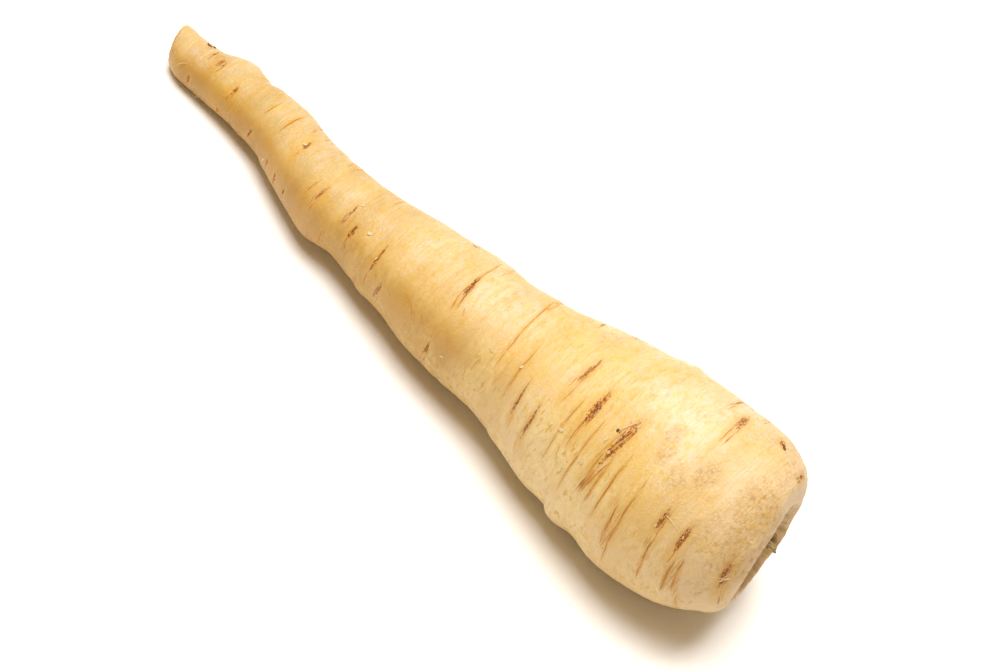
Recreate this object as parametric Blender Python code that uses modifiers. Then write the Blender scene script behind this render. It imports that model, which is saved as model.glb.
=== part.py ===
"""A parsnip lying on its side: a tapered root with a hollow crown, and the leaf-stalk stubs in it.

Metres, +Z up. X runs along the root, from the cut tip (-X) to the crown (+X). The origin is at the
middle of the root's box, on the surface that it rests on. Angles round the root are measured in the
YZ plane, from +Y towards +Z.
"""

import math

import bmesh
import bpy
from mathutils import Matrix

MM = 0.001

# Driving dimensions of the root, in millimetres.
TIP_RADIUS = 5.6
BELLY_RADIUS = 26.7
BELLY_AT = 174.0  # from the tip
SETTLE = 0.6  # how far the belly is flattened where it rests
CENTRE_SLOPE = (BELLY_RADIUS - SETTLE - TIP_RADIUS) / BELLY_AT

# Stations down the root: distance from the tip, radius, and how far the centre is bowed along Y.
STATIONS = (
    (0.0, TIP_RADIUS, 11.0),
    (7.0, 6.4, 9.2),
    (18.0, 8.0, 10.0),
    (30.0, 8.2, 9.2),
    (43.0, 9.5, 7.0),
    (56.0, 10.6, 2.7),
    (69.0, 11.6, -0.4),
    (80.0, 11.7, -0.6),
    (96.0, 14.2, -1.2),
    (114.0, 16.8, -2.4),
    (130.0, 17.7, -3.3),
    (143.0, 20.0, -3.2),
    (160.0, 24.2, -3.6),
    (BELLY_AT, BELLY_RADIUS, -3.8),
    (190.0, 27.9, -4.7),
    (204.0, 26.8, -4.0),
    (212.3, 23.6, -4.0),
)

# The rounded shoulder, from the last station to the lip: distance from the tip, radius.
SHOULDER = ((213.9, 22.3), (215.8, 20.8), (216.9, 19.3), (217.6, 17.5), (218.0, 15.9))
LIP_AT = 218.3
LIP_RADIUS = 14.6
LIP_ROUND = 0.7
HOLLOW_DEPTH = 6.5
FLOOR_RADIUS = 7.2
WALL_STEPS = 6

TIP_DOME = 0.9  # how far the cut end bulges
TIP_ROUND = 0.6

# Both ends are cut across at a slant: slope, and the direction round the root that reaches furthest.
CROWN_SLANT = 0.046
CROWN_SLANT_TOWARDS = math.radians(180)
CROWN_SLANT_FROM = 185.0
TIP_SLANT = 0.33
TIP_SLANT_TOWARDS = math.radians(41)
TIP_SLANT_UNTIL = 16.0

# The crown's lip is tilted further than the shoulder below it, and uneven: angle, height and
# half-angle of each rise.
LIP_TILT = 0.114
LIP_TILT_TOWARDS = math.radians(221)
LIP_TILT_FROM = 214.0
LIP_RISES = ((160, 1.1, 35), (110, 0.7, 28), (333, 0.7, 15), (15, 0.6, 20))

# Uneven growth: distance from the tip, angle, height, half-length and half-angle of each swelling.
# A negative height is a dent.
SWELLINGS = (
    (13, 41, -1.0, 3.0, 55),
    (22, 41, 1.0, 3.5, 50),
    (30, 41, -0.3, 4.0, 50),
    (54, 41, -0.4, 5.0, 50),
    (104, 41, -0.5, 6.0, 50),
    (126, 41, -0.4, 5.0, 45),
    (140, 41, -0.4, 6.0, 45),
    (166, 41, -0.4, 4.0, 40),
    (173, 41, 0.6, 2.8, 35),
    (178, 41, -0.4, 3.0, 40),
    (2, 221, 1.0, 5.0, 60),
    (38, 221, -0.5, 4.0, 50),
    (67, 221, 0.5, 5.0, 50),
    (76, 221, -0.6, 4.0, 50),
    (90, 221, 0.6, 4.5, 50),
    (109, 221, 0.5, 6.5, 50),
    (123, 221, 0.6, 3.5, 45),
    (137, 221, -0.8, 5.0, 45),
    (152, 221, -0.3, 5.0, 40),
    (166, 221, -1.1, 3.0, 32),
    (172, 221, 0.5, 2.6, 30),
    (179, 221, -1.1, 4.0, 35),
    (44, 120, 0.4, 6.0, 40),
    (98, 135, 0.5, 7.0, 40),
    (118, 110, -0.3, 4.0, 45),
    (150, 125, 0.5, 7.0, 35),
    (33, 320, 0.5, 5.0, 55),
    (58, 300, -0.4, 5.0, 50),
    (86, 325, 0.6, 6.0, 50),
    (112, 330, -0.5, 4.0, 45),
    (134, 345, 0.6, 6.0, 40),
    (182, 350, 0.6, 6.0, 35),
    (219, 10, 2.8, 2.6, 40),
    (216, 221, -0.6, 3.5, 40),
)

# Out of round: lobes round the root, share of the radius, angle of the first lobe, twist per metre.
LOBES = ((2, 0.012, 20, 300), (3, 0.010, 75, -500), (5, 0.004, 10, 900))

RING_STEP = 2.3
STEPS_ROUND = 48

# The leaf-stalk stubs, cut short above one common base that stands clear of the hollow's floor.
CLEARANCE = 0.3
BASE_RADIUS = 6.6
BASE_TOP_RADIUS = 5.4
BASE_THICKNESS = 1.8
SHEATH_WALL = 0.9
# Each sheath is a crescent: angle and distance of its centre from the root's axis, outer radius,
# how far it wraps, which way it opens, how high it stands above the hollow's floor, and the slope
# of its torn top with the direction that it rises towards.
SHEATHS = (
    (18, 3.8, 2.1, 230, 140, 7.2, 0.8, 240),
    (150, 3.3, 3.1, 200, 330, 3.6, 0.2, 90),
    (265, 3.4, 2.9, 215, 85, 3.7, 0.2, 300),
    (0, 0.0, 5.9, 100, 25, 2.9, 0.1, 120),
    (0, 0.0, 5.8, 90, 255, 3.2, 0.1, 200),
)
BUD_RADIUS = 1.5
BUD_HEIGHT = 3.4
SHEATH_STEPS = 9


def eased(share):
    """0 to 1, level at both ends."""
    share = min(1.0, max(0.0, share))
    return share * share * (3 - 2 * share)


def between(table, at, column):
    """A smooth curve through one column of a table whose first column is the distance."""
    for k in range(len(table) - 2):
        if at < table[k + 1][0]:
            break
    else:
        k = len(table) - 2
    start, end = table[k], table[k + 1]
    before, after = table[max(k - 1, 0)], table[min(k + 2, len(table) - 1)]
    span = end[0] - start[0]
    t = min(1.0, max(0.0, (at - start[0]) / span))
    slope_in = (end[column] - before[column]) / (end[0] - before[0]) * span
    slope_out = (after[column] - start[column]) / (after[0] - start[0]) * span
    rise = end[column] - start[column]
    bend_in = slope_in - rise
    bend_out = rise - slope_out
    return start[column] + t * rise + t * (1 - t) * (bend_in * (1 - t) + bend_out * t)


def angle_from(angle, other):
    """The signed angle between two directions round the root."""
    return (angle - other + math.pi) % (2 * math.pi) - math.pi


def root_profile():
    """(radius, distance from the tip) from the middle of the crown's hollow, over the lip, to the tip."""
    floor = LIP_AT - HOLLOW_DEPTH
    points = [(0.0, floor), (0.5 * FLOOR_RADIUS, floor), (FLOOR_RADIUS, floor)]
    wall_width = LIP_RADIUS - LIP_ROUND - FLOOR_RADIUS
    wall_height = HOLLOW_DEPTH - LIP_ROUND
    for k in range(1, WALL_STEPS + 1):
        turn = math.radians(90 * k / WALL_STEPS)
        at = floor + wall_height * (1 - math.cos(turn))
        points.append((FLOOR_RADIUS + wall_width * math.sin(turn), at))
    points.append((LIP_RADIUS, LIP_AT))
    points += [(radius, at) for at, radius in reversed(SHOULDER)]
    rings = round(STATIONS[-1][0] / RING_STEP)
    for k in range(rings, 0, -1):
        at = STATIONS[-1][0] * k / rings
        points.append((between(STATIONS, at, 1), at))
    points.append((TIP_RADIUS - 0.3 * TIP_ROUND, 0.0))
    points.append((TIP_RADIUS - TIP_ROUND, -0.5 * TIP_ROUND))
    points.append((0.5 * TIP_RADIUS, -0.75 * TIP_DOME))
    points.append((0.0, -TIP_DOME))
    return points


def growth(at, angle):
    """What the swellings and dents add to the radius there."""
    total = 0.0
    for centre, towards, height, half_length, half_angle in SWELLINGS:
        along = (at - centre) / half_length
        round_root = math.degrees(angle_from(angle, math.radians(towards))) / half_angle
        total += height * math.exp(-along * along - round_root * round_root)
    return total


def lobed(at, angle):
    """The share by which the root is out of round there."""
    return sum(
        share * math.cos(count * (angle - math.radians(first + twist * at * MM)))
        for count, share, first, twist in LOBES
    )


def lip_rise(at, angle, radius):
    """How much further along the root the crown's lip lies there than the slant alone puts it."""
    share = eased((at - LIP_TILT_FROM) / (LIP_AT - LIP_TILT_FROM))
    rise = LIP_TILT * radius * math.cos(angle - LIP_TILT_TOWARDS)
    for towards, height, half_angle in LIP_RISES:
        off = math.degrees(angle_from(angle, math.radians(towards))) / half_angle
        rise += height * math.exp(-off * off) * min(1.0, radius / LIP_RADIUS)
    return share * rise


def place_on_root(at, angle, radius):
    """The point, in millimetres, that a straight turned root's point moves to as grown."""
    full = between(STATIONS, at, 1) if at < STATIONS[-1][0] else STATIONS[-1][1]
    radius = radius * (1 + lobed(at, angle)) + growth(at, angle) * min(1.0, radius / full)
    crown = eased((at - CROWN_SLANT_FROM) / (LIP_AT - CROWN_SLANT_FROM))
    tip = 1 - eased(at / TIP_SLANT_UNTIL)
    x = at + crown * CROWN_SLANT * radius * math.cos(angle - CROWN_SLANT_TOWARDS)
    x += lip_rise(at, angle, radius)
    x -= tip * TIP_SLANT * radius * math.cos(angle - TIP_SLANT_TOWARDS)
    y = between(STATIONS, at, 2) + radius * math.cos(angle)
    z = TIP_RADIUS + CENTRE_SLOPE * at + radius * math.sin(angle)
    return x, y, max(0.0, z)


def clear_scene():
    for obj in list(bpy.data.objects):
        bpy.data.objects.remove(obj, do_unlink=True)


def collection_named(name):
    made = bpy.data.collections.new(name)
    bpy.context.scene.collection.children.link(made)
    return made


def material_named(name, color, roughness):
    made = bpy.data.materials.new(name)
    made.use_nodes = True
    shader = made.node_tree.nodes["Principled BSDF"]
    shader.inputs["Base Color"].default_value = (*color, 1.0)
    shader.inputs["Roughness"].default_value = roughness
    shader.inputs["Metallic"].default_value = 0.0
    return made


def turned(name, profile, collection, steps):
    """An open profile of (radius, height) points, in metres, turned round Z as one closed mesh."""
    line = bpy.data.meshes.new(name + "_profile")
    points = [(radius, 0.0, height) for radius, height in profile]
    line.from_pydata(points, [(k, k + 1) for k in range(len(points) - 1)], [])
    guide = bpy.data.objects.new(name + "_guide", line)
    collection.objects.link(guide)
    screw = guide.modifiers.new("Turn", "SCREW")
    screw.steps = steps
    screw.render_steps = steps
    screw.use_merge_vertices = True
    screw.merge_threshold = 0.00001
    graph = bpy.context.evaluated_depsgraph_get()
    mesh = bpy.data.meshes.new_from_object(guide.evaluated_get(graph))
    mesh.name = name
    bpy.data.objects.remove(guide, do_unlink=True)
    made = bpy.data.objects.new(name, mesh)
    collection.objects.link(made)
    return made


def grown(obj):
    """Moves the points of a mesh made straight up Z to where they lie on the grown root."""
    for vertex in obj.data.vertices:
        x, y, z = (value / MM for value in vertex.co)
        place = place_on_root(z, math.atan2(y, x), math.hypot(x, y))
        vertex.co = [value * MM for value in place]


def make_root(collection):
    """The root, turned straight and then bent and swollen as grown."""
    profile = [(radius * MM, at * MM) for radius, at in root_profile()]
    root = turned("root", profile, collection, STEPS_ROUND)
    grown(root)
    root.data.shade_smooth()
    root.data.materials.append(material_named("root_skin", (0.82, 0.60, 0.30), 0.55))
    return root


def round_block(name, radius, top_radius, height, bottom, collection):
    """An upright round block, in millimetres, standing on the given level."""
    mesh = bpy.data.meshes.new(name)
    made = bmesh.new()
    centre = Matrix.Translation((0, 0, (bottom + height / 2) * MM))
    bmesh.ops.create_cone(
        made, cap_ends=True, segments=32, radius1=radius * MM, radius2=top_radius * MM,
        depth=height * MM, matrix=centre,
    )
    made.to_mesh(mesh)
    made.free()
    obj = bpy.data.objects.new(name, mesh)
    collection.objects.link(obj)
    return obj


def crescent(outer, wraps, opens):
    """The outline, in millimetres, of a sheath cut across: an arc out and a tighter arc back."""
    middle = math.radians(opens + 180)
    half = math.radians(wraps / 2)
    turns = [middle - half + 2 * half * k / SHEATH_STEPS for k in range(SHEATH_STEPS + 1)]
    outside = [(outer * math.cos(turn), outer * math.sin(turn)) for turn in turns]
    inner = outer - SHEATH_WALL
    inside = [(inner * math.cos(turn), inner * math.sin(turn)) for turn in reversed(turns)]
    return outside + inside


def slope_top(mesh, slope, towards):
    """Tilts the top of an upright mesh that is centred on the origin."""
    turn = math.radians(towards)
    for vertex in mesh.vertices:
        if vertex.co.z > 0:
            out = vertex.co.x * math.cos(turn) + vertex.co.y * math.sin(turn)
            vertex.co.z += slope * out


def sheath(name, shape, bottom, collection):
    """One upright crescent-shaped stub, as a mesh, sunk into the base below it."""
    angle, distance, outer, wraps, opens, height, slope, towards = shape
    outline = bpy.data.curves.new(name, "CURVE")
    outline.dimensions = "2D"
    outline.fill_mode = "BOTH"
    outline.extrude = height / 2 * MM
    points = crescent(outer, wraps, opens)
    line = outline.splines.new("POLY")
    line.points.add(len(points) - 1)
    for point, (x, y) in zip(line.points, points):
        point.co = (x * MM, y * MM, 0, 1)
    line.use_cyclic_u = True
    guide = bpy.data.objects.new(name + "_outline", outline)
    collection.objects.link(guide)
    graph = bpy.context.evaluated_depsgraph_get()
    mesh = bpy.data.meshes.new_from_object(guide.evaluated_get(graph))
    slope_top(mesh, slope, towards)
    turn = math.radians(angle)
    centre = (distance * math.cos(turn), distance * math.sin(turn), bottom + height / 2)
    mesh.transform(Matrix.Translation([value * MM for value in centre]))
    weld = bmesh.new()
    weld.from_mesh(mesh)
    bmesh.ops.remove_doubles(weld, verts=weld.verts, dist=0.00001)
    weld.to_mesh(mesh)
    weld.free()
    obj = bpy.data.objects.new(name, mesh)
    collection.objects.link(obj)
    bpy.data.objects.remove(guide, do_unlink=True)
    return obj


def join_all(target, others):
    """Joins every object of a collection to the target with a Boolean union, and removes them."""
    join = target.modifiers.new("Join", "BOOLEAN")
    join.operation = "UNION"
    join.operand_type = "COLLECTION"
    join.collection = others
    join.solver = "EXACT"
    graph = bpy.context.evaluated_depsgraph_get()
    joined = bpy.data.meshes.new_from_object(target.evaluated_get(graph))
    target.modifiers.remove(join)
    joined.name = target.name
    target.data = joined
    for obj in list(others.objects):
        bpy.data.objects.remove(obj, do_unlink=True)


def make_stubs(collection, cutters):
    """The leaf-stalk stubs: nested crescents round a bud, on a base in the crown's hollow."""
    bottom = LIP_AT - HOLLOW_DEPTH + CLEARANCE
    stubs = round_block(
        "leaf_stubs", BASE_RADIUS, BASE_TOP_RADIUS, BASE_THICKNESS, bottom, collection
    )
    rooted = bottom + BASE_THICKNESS / 2
    sunk = CLEARANCE + BASE_THICKNESS / 2
    for k, (*place, height, slope, towards) in enumerate(SHEATHS):
        shape = (*place, height - sunk, slope, towards)
        sheath(f"sheath_{k}", shape, rooted, cutters)
    round_block("bud", BUD_RADIUS, 0.7 * BUD_RADIUS, BUD_HEIGHT - sunk, rooted, cutters)
    join_all(stubs, cutters)
    grown(stubs)
    stubs.data.shade_smooth()
    stubs.data.set_sharp_from_angle(angle=math.radians(40))
    stubs.data.materials.append(material_named("stub_skin", (0.42, 0.30, 0.14), 0.7))
    return stubs


def stand_on_origin(root, parts):
    """Moves every part alike, so that the root's box is centred over the origin and stands on it."""
    points = [vertex.co for vertex in root.data.vertices]
    low = [min(point[k] for point in points) for k in range(3)]
    high = [max(point[k] for point in points) for k in range(3)]
    shift = Matrix.Translation((-(low[0] + high[0]) / 2, -(low[1] + high[1]) / 2, -low[2]))
    for obj in parts.objects:
        obj.data.transform(shift)


def main():
    clear_scene()
    parts = collection_named("parsnip")
    cutters = collection_named("cutters")
    root = make_root(parts)
    make_stubs(parts, cutters)
    stand_on_origin(root, parts)


main()
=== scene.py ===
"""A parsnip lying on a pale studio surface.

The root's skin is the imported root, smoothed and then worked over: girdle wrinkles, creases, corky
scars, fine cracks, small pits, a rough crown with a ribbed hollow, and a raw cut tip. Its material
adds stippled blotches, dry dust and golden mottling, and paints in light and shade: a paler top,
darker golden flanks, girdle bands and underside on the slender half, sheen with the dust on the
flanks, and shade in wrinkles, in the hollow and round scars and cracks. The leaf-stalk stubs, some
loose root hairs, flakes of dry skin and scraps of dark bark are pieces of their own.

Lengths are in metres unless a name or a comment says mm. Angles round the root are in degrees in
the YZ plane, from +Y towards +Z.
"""

import math
import random

import bpy
import numpy as np
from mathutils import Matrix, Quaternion, Vector, noise


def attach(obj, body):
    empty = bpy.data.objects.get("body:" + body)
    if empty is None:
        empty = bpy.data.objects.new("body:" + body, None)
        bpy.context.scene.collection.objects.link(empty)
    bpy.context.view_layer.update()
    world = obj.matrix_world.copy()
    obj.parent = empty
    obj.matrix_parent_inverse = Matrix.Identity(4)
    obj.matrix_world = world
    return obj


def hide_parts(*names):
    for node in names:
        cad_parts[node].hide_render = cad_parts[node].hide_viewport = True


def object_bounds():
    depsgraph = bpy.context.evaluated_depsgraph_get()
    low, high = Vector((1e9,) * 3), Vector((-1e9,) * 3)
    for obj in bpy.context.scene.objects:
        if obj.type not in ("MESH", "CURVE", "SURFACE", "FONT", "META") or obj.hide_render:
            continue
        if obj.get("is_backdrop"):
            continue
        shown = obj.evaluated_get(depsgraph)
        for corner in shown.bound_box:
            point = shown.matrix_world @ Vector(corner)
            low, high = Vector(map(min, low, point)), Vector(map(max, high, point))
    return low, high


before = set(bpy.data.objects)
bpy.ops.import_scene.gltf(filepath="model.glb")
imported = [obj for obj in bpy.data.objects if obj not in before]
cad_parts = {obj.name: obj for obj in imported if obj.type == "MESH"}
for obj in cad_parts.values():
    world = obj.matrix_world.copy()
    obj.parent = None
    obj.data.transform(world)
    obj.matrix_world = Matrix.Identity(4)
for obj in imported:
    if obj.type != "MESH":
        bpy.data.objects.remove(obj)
cad_low, cad_high = (corner.copy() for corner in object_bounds())

MM = 0.001
BODY = "root"

# --- what grows where on the root

# Corky scars left by side roots: x mm, angle, length round the root mm, width mm,
# skew mm, depth mm, darkness from 0 to 1.
SCARS = (
    (-98, 186, 5, 1.3, 0.2, 0.15, 1),
    (-97, 92, 4, 0.9, 0, 0.12, 0.9),
    (-93, 110, 4.5, 3.2, -0.5, 0.12, 0.8),
    (-84.5, 138, 4.5, 1.6, -0.5, 0.2, 1),
    (-86, 201, 4, 1.2, 0, 0.15, 1),
    (-73, 179, 5, 1.3, -1.2, 0.2, 1),
    (-56, 106, 5, 1.7, -0.3, 0.2, 0.9),
    (-62.5, 181, 4, 1.3, 0.2, 0.15, 0.9),
    (-57.5, 184, 4.5, 1.4, 0.2, 0.15, 1),
    (-52.5, 184, 4, 1.2, 0, 0.15, 0.9),
    (-42, 137, 7, 1.6, -0.4, 0.2, 0.9),
    (-32, 128, 5.5, 1, -0.1, 0.15, 0.9),
    (-28, 150, 6.5, 2, 0.2, 0.2, 1),
    (-17, 154, 12, 1.5, 0.5, 0.3, 1),
    (-12, 179, 8, 1.5, -0.3, 0.2, 1),
    (9, 186, 7.5, 1.6, -0.3, 0.2, 1),
    (8, 112, 10, 1.8, 1.1, 0.25, 1),
    (39, 160, 14, 1.2, 1.8, 0.2, 0.9),
    (45, 168, 16, 1.2, 0.6, 0.2, 1),
    (48, 116, 14, 2, -0.6, 0.25, 0.8),
    (56.5, 132, 17, 2.6, 0.7, 0.3, 1),
    (67, 140, 22, 3.2, -1.6, 0.35, 1),
    (88.5, 154, 11, 2.6, 0.8, 0.35, 1),
    (95, 157, 12, 2.3, 0.1, 0.3, 1),
    (108, 164, 13, 2.2, 1.9, 0.25, 0.9),
    (85, 81, 13, 2.4, 0.8, 0.25, 0.9),
    (79.5, 62, 12, 1.2, 0, 0.2, 0.8),
    (95, 67, 4, 2, 0, 0.25, 1),
    (104, 65, 5, 1.6, 0, 0.2, 1),
)

# Fine cracks and hairlines, with the same columns.
CRACKS = (
    (-72, 104, 6, 0.6, -0.8, 0.08, 1),
    (-64.5, 97, 8, 0.6, -1, 0.08, 1),
    (-45.5, 138, 7, 0.7, -1.6, 0.1, 1),
    (7.5, 84, 14, 0.7, 0.6, 0.2, 0.7),
    (26.5, 105, 26, 0.7, 2.5, 0.15, 0.8),
    (66, 157, 10, 0.8, 0.6, 0.12, 1),
    (69, 159, 13, 0.8, 0.4, 0.12, 1),
    (72.5, 158, 19, 1, 0.9, 0.15, 1),
    (78, 174, 12, 0.9, 1.4, 0.12, 1),
    (80, 169, 25, 0.9, 1.8, 0.12, 1),
    (90, 179, 12, 0.7, 1.4, 0.1, 1),
    (97, 180, 11, 0.7, 1, 0.1, 1),
    (99, 177, 11, 0.8, 1.5, 0.1, 1),
    (61, 158, 22, 0.6, 0.8, 0.1, 0.8),
    (53, 150, 18, 0.6, 0.8, 0.1, 0.8),
    (34, 140, 16, 0.6, 1.2, 0.1, 0.7),
    (-15.5, 162, 2, 0.6, 1.8, 0.05, 0.6),
    (-13.5, 164, 1.6, 0.5, 2.2, 0.05, 0.5),
    (-11, 163, 1.8, 0.6, 1.5, 0.05, 0.6),
    (-3, 158, 2.6, 0.6, 2, 0.06, 0.6),
    (-0.5, 161, 3.2, 0.7, 2.6, 0.06, 0.7),
    (1.5, 165, 2.6, 0.6, 3, 0.06, 0.6),
    (3.5, 160, 2.4, 0.6, 2.2, 0.06, 0.6),
    (5, 164, 1.8, 0.5, 2, 0.05, 0.5),
    (13, 158, 1.6, 0.5, 2, 0.05, 0.5),
    (11.5, 130, 1.6, 0.6, 0.8, 0.05, 0.5),
)

# Small holes, with the same columns.
PITS = (
    (65, 130, 1.5, 1.3, 0, 0.5, 1),
    (57.3, 126, 0.9, 0.8, 0, 0.3, 0.9),
    (20, 262, 1.2, 1.1, 0, 0.4, 0.9),
    (74, 318, 1.5, 1.2, 0, 0.4, 1),
)

# Stippled tan blotches, with the same columns. They are flat.
BLOTCHES = (
    (76.2, 112, 6, 4, 0, 0, 0.7),
    (77.6, 121, 7, 4, 0.5, 0, 0.7),
    (89.1, 117, 8, 5, 0, 0, 0.8),
    (84, 128, 7, 4, 0, 0, 0.5),
    (103.6, 112, 12, 9, 0, 0, 1),
    (108.5, 137, 14, 7, 0, 0, 0.9),
    (104.5, 128, 9, 6, 0, 0, 0.8),
    (45, 80, 9, 6, 0, 0, 0.5),
    (-40, 172, 8, 6, 0, 0, 0.4),
    (2, 165, 10, 7, 0, 0, 0.35),
    (-95, 105, 6, 5, 0, 0, 0.6),
    (60, 290, 12, 8, 0, 0, 0.8),
    (100, 255, 14, 9, 0, 0, 0.9),
    (98, 10, 12, 9, 0, 0, 0.9),
    (15, 330, 9, 7, 0, 0, 0.7),
)

# Creases that ring part of the root: x mm, angle, how far they run in degrees, width mm, depth mm.
CREASES = (
    (-81, 60, 110, 3, 0.35),
    (-69, 190, 90, 3, 0.3),
    (-46, 60, 100, 3, 0.25),
    (-21, 200, 90, 3.5, 0.3),
    (6, 85, 100, 2.2, 0.35),
    (15, 200, 90, 3, 0.3),
    (27, 95, 150, 1.6, 0.4),
    (32, 205, 80, 2.6, 0.3),
    (58, 215, 60, 2.2, 0.4),
    (63, 60, 70, 2.2, 0.35),
    (-59, 300, 120, 3, 0.3),
    (-7, 320, 120, 3, 0.3),
    (39, 330, 110, 2.6, 0.35),
    (81, 320, 90, 2.6, 0.35),
)

# --- modelling helpers

SAME_POINT = 0.00001  # points closer than this are merged
QUAD_BEND = math.radians(50)  # how far the two halves of a quad may fold
QUAD_SKEW = math.radians(60)  # and how far its corners may be from square


def select_only(obj):
    """Leaves one object selected and active, in object mode."""
    if bpy.context.mode != "OBJECT":
        bpy.ops.object.mode_set(mode="OBJECT")
    bpy.ops.object.select_all(action="DESELECT")
    obj.select_set(True)
    bpy.context.view_layer.objects.active = obj


def apply_modifier(obj, name, kind, **settings):
    """Adds a modifier with these settings and applies it."""
    select_only(obj)
    modifier = obj.modifiers.new(name, kind)
    for key, value in settings.items():
        setattr(modifier, key, value)
    bpy.ops.object.modifier_apply(modifier=modifier.name)


def copy_of_node(node, name):
    """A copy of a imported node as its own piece, merged, with its triangles paired into quads."""
    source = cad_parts[node]
    piece = bpy.data.objects.new(name, source.data.copy())
    bpy.context.scene.collection.objects.link(piece)
    piece.data.materials.clear()
    select_only(piece)
    bpy.ops.object.mode_set(mode="EDIT")
    bpy.ops.mesh.select_all(action="SELECT")
    bpy.ops.mesh.remove_doubles(threshold=SAME_POINT)
    bpy.ops.mesh.tris_convert_to_quads(face_threshold=QUAD_BEND, shape_threshold=QUAD_SKEW)
    bpy.ops.object.mode_set(mode="OBJECT")
    return piece


def vectors_of(mesh, kind):
    """A row for each point of a mesh: kind "co" is its place, "normal" its facing."""
    flat = np.empty(len(mesh.vertices) * 3)
    mesh.vertices.foreach_get(kind, flat)
    return flat.reshape(-1, 3)


def move_points(mesh, points):
    mesh.vertices.foreach_set("co", points.ravel())
    mesh.update()


def store(mesh, name, *columns):
    """Keeps three values for each point of a mesh, for its material to read."""
    layer = mesh.attributes.new(name, "FLOAT_VECTOR", "POINT")
    vectors = np.stack(columns, axis=1).astype(np.float32)
    layer.data.foreach_set("vector", vectors.ravel())


def ramp(value, low, high):
    """0 at low, 1 at high, eased between them and held past them, over arrays."""
    share = np.clip((value - low) / (high - low), 0.0, 1.0)
    return share * share * (3 - 2 * share)


OCTAVES = ((1.0, 1.0), (2.1, 0.5), (4.3, 0.25))  # how many times finer, and how strong


def roughness_at(points, scale, octaves=1):
    """Smooth noise about zero at each point, with features about 1 / scale across."""
    found = np.empty(len(points))
    for k, point in enumerate(points * scale):
        found[k] = sum(share * noise.noise(point * finer) for finer, share in OCTAVES[:octaves])
    return found


# --- places on the root

STATIONS = 70  # along the root, each with the centre of its slice
SLICE = 2 * MM  # to each side of a station
OFF_THE_TIP = 5 * MM  # the first station, clear of the cut
OFF_THE_CROWN = 12 * MM  # the last one, clear of the hollow


class Growth:
    """Where each point of the root lies: along it, round it, and out from its bent centre."""

    def __init__(self, mesh):
        self.points = vectors_of(mesh, "co")
        self.facing = vectors_of(mesh, "normal")
        self.x = self.points[:, 0].copy()
        first, last = self.x.min() + OFF_THE_TIP, self.x.max() - OFF_THE_CROWN
        self.stations = np.linspace(first, last, STATIONS)
        self.centres = np.array([self.slice_centre(station) for station in self.stations])
        y, z = self.centre_at(self.x)
        self.y = self.points[:, 1] - y
        self.z = self.points[:, 2] - z
        self.radius = np.hypot(self.y, self.z)
        self.angle = np.degrees(np.arctan2(self.z, self.y))
        turn = np.radians(self.angle)
        self.across, self.up = np.cos(turn), np.sin(turn)

    def slice_centre(self, station):
        ring = self.points[np.abs(self.x - station) < SLICE, 1:]
        return (ring.min(axis=0) + ring.max(axis=0)) / 2

    def centre_at(self, x):
        return (np.interp(x, self.stations, self.centres[:, k]) for k in range(2))

    def from_angle(self, angle):
        """Degrees round the root from this angle, -180 to 180."""
        return (self.angle - angle + 180) % 360 - 180


CREASE_WANDER = 0.8  # how far a crease wanders, in half-widths
CREASE_WAVES = 3  # how often it does so round the root
CREASE_PHASE = 11  # degrees for each mm along the root, so that no two wander alike
CREASE_LIP_AT = 2.2  # where the low lip beside a crease stands, in half-widths
CREASE_LIP_SHARE = 0.35  # and how high it is, as a share of the crease's depth
CREASE_FADE = (1.2, 0.2)  # where a crease has faded out and where it is full, in half-lengths


def dents(growth, creases):
    """How far the creases sink the skin, in millimetres, each fading out towards its ends."""
    depth = np.zeros(len(growth.x))
    for x, angle, wraps, width, deepest in creases:
        across = (growth.x / MM - x) / (width / 2)
        along = growth.from_angle(angle) / (wraps / 2)
        phase = np.radians(growth.angle * CREASE_WAVES + x * CREASE_PHASE)
        across = across + CREASE_WANDER * np.sin(phase)
        valley = np.exp(-(across**2))
        lip = CREASE_LIP_SHARE * np.exp(-((across - CREASE_LIP_AT) ** 2))
        depth += deepest * (valley - lip) * ramp(np.abs(along), *CREASE_FADE)
    return depth


FAR = 9.0  # mm, past the reach of any mark
FADE = 0.6  # how far a mark fades past its ends, in half-lengths
CORE_RADIUS = 4 * MM  # nearer the centre than this, only the crown has marks
CROWN_MM = 90  # where the crown begins
SEED_STEP = 0.37  # between the seeds of two marks
CUT_SHORTER = 1.3  # how many times shorter than its mark the cut in the skin is
CUT_SHIFT = 0.3  # how far towards one end its deepest place lies
CUT_STEEP = 1.3  # how steeply its sides rise
RIM_AT = 1.5  # where the raised rim of a cut stands, in half-widths
RIM_SHARE = 0.3  # and how high it is, as a share of the cut's depth
RIM_STEEP = 3  # how steeply it falls away


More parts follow.
